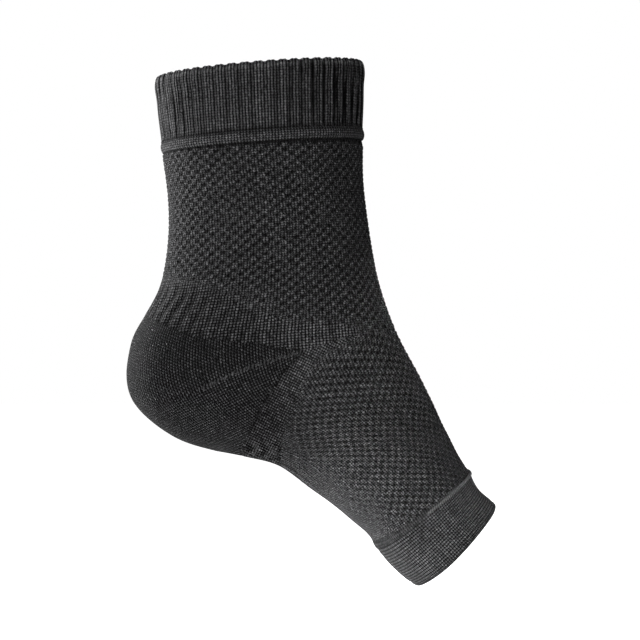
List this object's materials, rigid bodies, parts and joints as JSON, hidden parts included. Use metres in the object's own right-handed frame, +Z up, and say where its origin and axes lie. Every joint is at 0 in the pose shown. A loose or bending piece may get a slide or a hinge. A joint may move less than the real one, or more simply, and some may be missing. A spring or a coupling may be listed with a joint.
{
  "type": "elastic ankle support",
  "caption": "Knitted elastic ankle sleeve, open at the leg and the midfoot, with a ribbed top cuff, a shaped heel pocket and a plain foot cuff.",
  "frame": {"origin": "centre of the ankle joint inside the sleeve, where a foot holds it", "axes": "+Z up the leg, +X towards the toes, +Y across the foot"},
  "size_m": [0.1537, 0.0838, 0.2181],
  "materials": {
    "ribbed_cuff_knit": "matt charcoal elastic rib knit",
    "plain_knit": "matt charcoal plain knit",
    "birdseye_knit": "matt charcoal knit with small raised tufts",
    "fine_rib_knit": "matt charcoal fine rib knit",
    "heel_knit": "smooth dark charcoal knit",
    "border_knit": "raised grey knit edge",
    "plain_cuff_knit": "matt grey plain knit"
  },
  "bodies": {
    "root": {"top_cuff": "ribbed_cuff_knit", "hem_band": "plain_knit", "leg_panel": "birdseye_knit", "instep_panel": "birdseye_knit", "ankle_rib_band": "fine_rib_knit", "heel_pocket": "heel_knit", "foot_border": "border_knit", "foot_cuff": "plain_cuff_knit"}
  },
  "joints": []
}
